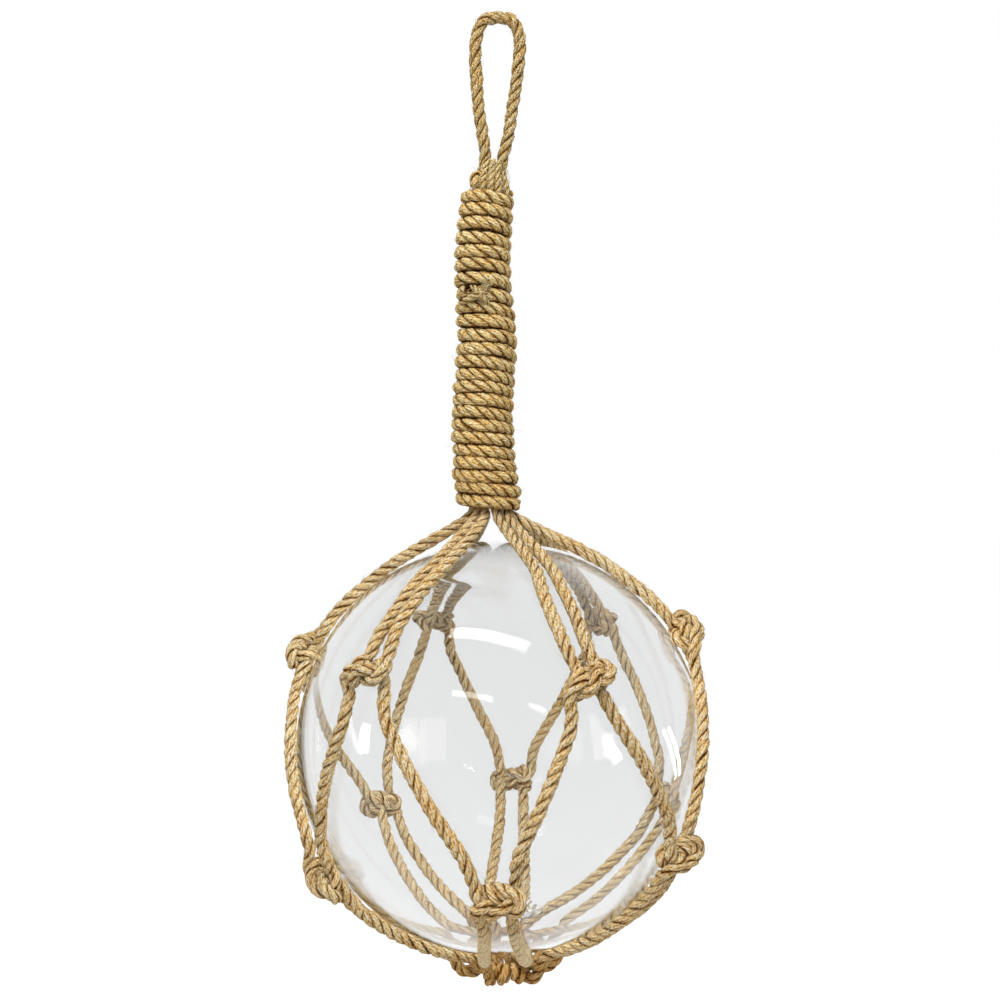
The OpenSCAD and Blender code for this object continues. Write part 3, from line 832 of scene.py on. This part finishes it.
class BALL_OT_wraps(bpy.types.Operator):
    """Wind the three wrappings about the stem"""
    bl_idname = "ball.wraps"
    bl_label = "Wrapped stem"

    def execute(self, context):
        rope = context.scene.ball_rope
        material = jute_material("jute_wrap", context.scene.ball_colours.wrap_shade_tone)
        for n, (node, route) in enumerate(wrap_routes(rope.diameter / 2).items()):
            mesh = RopeMesh()
            mesh.add_rope(route, rope, 30 + n, lay=0.95, beside=True)
            if node == "wrap_upper":
                mesh.add_rope(chaikin(np.array(STUB), 2), rope, 33)
                for k, tuck in enumerate(TUCKS):
                    mesh.add_rope(chaikin(np.array(tuck), 3), rope, 50 + k, lay=0.6)
                for tuft in STEM_TUFTS:
                    mesh.add_tuft(*tuft)
            finish_piece(mesh.build(f"{node}_rope"), node, material)
        return {"FINISHED"}


class BALL_OT_loop(bpy.types.Operator):
    """Make the loop that the ball hangs by"""
    bl_idname = "ball.loop"
    bl_label = "Hanging loop"

    def execute(self, context):
        rope = context.scene.ball_rope
        route = chaikin(loop_route(rope.diameter / 2), 3)
        mesh = RopeMesh()
        mesh.add_rope(route, rope, 40, rope.diameter * 0.85)
        piece = mesh.build("loop_rope")
        material = jute_material("jute_loop", context.scene.ball_colours.loop_shade_tone)
        finish_piece(piece, "hanging_loop", material)
        path, places = resample(route, 4.0)
        return {"FINISHED"}


class BALL_OT_glass(bpy.types.Operator):
    """Blow the sealed glass ball"""
    bl_idname = "ball.glass"
    bl_label = "Glass ball"

    def execute(self, context):
        glass = context.scene.ball_glass
        shells = []
        for radius, segments, inward in ((BALL_R, 192, False), (BALL_R - glass.wall, 320, True)):
            bpy.ops.object.select_all(action="DESELECT")
            bpy.ops.mesh.primitive_uv_sphere_add(segments=segments, ring_count=segments // 2,
                                                 radius=radius * MM)
            shell = context.object
            count = len(shell.data.vertices)
            points = np.empty(count * 3, np.float32)
            shell.data.vertices.foreach_get("co", points)
            points = points.reshape(-1, 3) / MM
            way = unit(points)
            random = np.random.default_rng(7 if inward else 8)
            swell = np.zeros(count)
            for _ in range(SLOW_WAVES):
                direction = unit(random.normal(size=3))
                swell += np.sin((way @ direction) * random.uniform(3, 9) + random.uniform(0, 6.28))
            swell *= glass.waviness / 3
            seal = unit(np.array(SEAL_AT))
            near = np.clip(1 - np.arccos(np.clip(way @ seal, -1, 1)) * BALL_R / (glass.seal_d / 2), 0, 1)
            button = near * near * (3 - 2 * near)
            lift = swell - (glass.seal_rise * button if inward else -0.4 * button)
            if inward:
                off = (way - CREASE_AT) * radius
                across = off @ CREASE_WAY
                beside = (off ** 2).sum(axis=1) - across ** 2
                ridge = np.clip(1 - np.abs(across) / CREASE_SIDE, 0, 1) ** 2
                lift = lift - glass.crease * ridge * np.exp(-beside / (2 * CREASE_ALONG ** 2))
                rough = sum(np.sin(way @ unit(random.normal(size=3)) * radius * random.uniform(1.4, 2.6))
                            for _ in range(6))
                lift = lift + 0.12 * rough * np.sqrt(button)
            points = points + way * lift[:, None]
            shell.data.vertices.foreach_set("co", ((points + [0, 0, BALL_Z]) * MM).astype(np.float32).ravel())
            if inward:
                shell.data.flip_normals()
            shell.data.shade_smooth()
            shells.append(shell)
        bpy.ops.object.select_all(action="DESELECT")
        for shell in shells:
            shell.select_set(True)
        context.view_layer.objects.active = shells[0]
        bpy.ops.object.join()
        piece = context.object
        piece.name = "blown_ball"
        finish_piece(piece, "glass_ball", glass_material("clear_glass"))
        return {"FINISHED"}


def from_ball(az, el, far):
    """A place seen from the ball's middle, in millimetres"""
    az, el = math.radians(az), math.radians(el)
    return Vector((far * math.cos(el) * math.sin(az), -far * math.cos(el) * math.cos(az),
                   BALL_Z + far * math.sin(el)))


def lamp(name, left, right, depth, brightness, colour=(1, 1, 1)):
    """A flat soft lamp that faces the ball, between two ends given as (azimuth, height, distance)"""
    left, right = from_ball(*left), from_ball(*right)
    across = (right - left).normalized()
    back = ((left + right) / 2 - Vector((0, 0, BALL_Z)))
    back = (back - across * back.dot(across)).normalized()
    data = bpy.data.lights.new(name, "AREA")
    data.shape, data.size, data.size_y = "RECTANGLE", (right - left).length * MM, depth * MM
    data.energy, data.color = brightness * math.pi * data.size * data.size_y, colour
    light = bpy.data.objects.new(name, data)
    turn = Matrix((across, back.cross(across), back)).transposed()
    light.matrix_world = Matrix.Translation((left + right) / 2 * MM) @ turn.to_4x4()
    light.visible_camera = light.visible_diffuse = False
    bpy.context.scene.collection.objects.link(light)
    return light


class BALL_OT_stage(bpy.types.Operator):
    """Set the camera, the lamps and the floor"""
    bl_idname = "ball.stage"
    bl_label = "Stage"

    def execute(self, context):
        stage = context.scene.ball_stage
        scene = context.scene
        camera = bpy.data.cameras.new("camera")
        camera.lens, camera.sensor_width = stage.lens, 36
        camera.sensor_fit = "HORIZONTAL"
        seat = bpy.data.objects.new("camera", camera)
        seat.location = Vector((0, -stage.camera_back, BALL_Z + stage.camera_up)) * MM
        seat.rotation_euler = (math.radians(90 - stage.camera_tilt), 0, 0)
        scene.collection.objects.link(seat)
        scene.camera = seat

        floor_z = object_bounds()[0][2] - stage.floor_gap * MM
        bpy.ops.object.select_all(action="DESELECT")
        bpy.ops.mesh.primitive_plane_add(size=12, location=(0, 0, floor_z))
        floor = context.object
        floor.name = "floor"
        floor.data.materials.append(floor_material(stage.floor_lift))
        floor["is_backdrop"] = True

        world = bpy.data.worlds.new("studio")
        scene.world = world
        world.use_nodes = True
        m = Maker(world)
        soft = m.node("ShaderNodeBackground", {}, ((1, 1, 1, 1), stage.room_light))
        white = m.node("ShaderNodeBackground", {}, ((1, 1, 1, 1), 1.0))
        both = m.node("ShaderNodeMixShader", {}, (m.seen_rays(), soft.outputs[0], white.outputs[0]))
        m.node("ShaderNodeOutputWorld", {}, (both.outputs[0],))

        key = lamp("key", (-40, 50, 1250), (25, 50, 1250), 900, stage.key_light)
        key.visible_glossy = key.visible_transmission = False
        key.visible_diffuse = True
        for row in LAMPS:
            lamp(*row)
        scene.view_settings.view_transform = "Standard"
        return {"FINISHED"}


class BALL_PT_panel(bpy.types.Panel):
    """Steps that make the ball and its net"""
    bl_idname = "BALL_PT_panel"
    bl_label = "Glass ball in a net"
    bl_space_type = "VIEW_3D"
    bl_region_type = "UI"
    bl_category = "Glass ball"

    def draw(self, context):
        for step in STEPS:
            self.layout.operator(step.bl_idname)
        for group in GROUPS:
            settings = getattr(context.scene, group)
            for name in settings.__annotations__:
                self.layout.prop(settings, name)


STEPS = (BALL_OT_stage, BALL_OT_loop, BALL_OT_net, BALL_OT_wraps, BALL_OT_glass)
GROUPS = {"ball_rope": RopeSettings, "ball_colours": ColourSettings, "ball_glass": GlassSettings,
          "ball_stage": StageSettings}


def register():
    for group in (*GROUPS.values(), *STEPS, BALL_PT_panel):
        bpy.utils.register_class(group)
    for name, group in GROUPS.items():
        setattr(bpy.types.Scene, name, PointerProperty(type=group))


def unregister():
    for name in GROUPS:
        delattr(bpy.types.Scene, name)
    for group in (BALL_PT_panel, *reversed(STEPS), *reversed(GROUPS.values())):
        bpy.utils.unregister_class(group)


def main():
    register()
    bpy.ops.ball.stage()
    bpy.ops.ball.loop()
    bpy.ops.ball.net()
    bpy.ops.ball.wraps()
    bpy.ops.ball.glass()


if __name__ == "__main__":
    main()
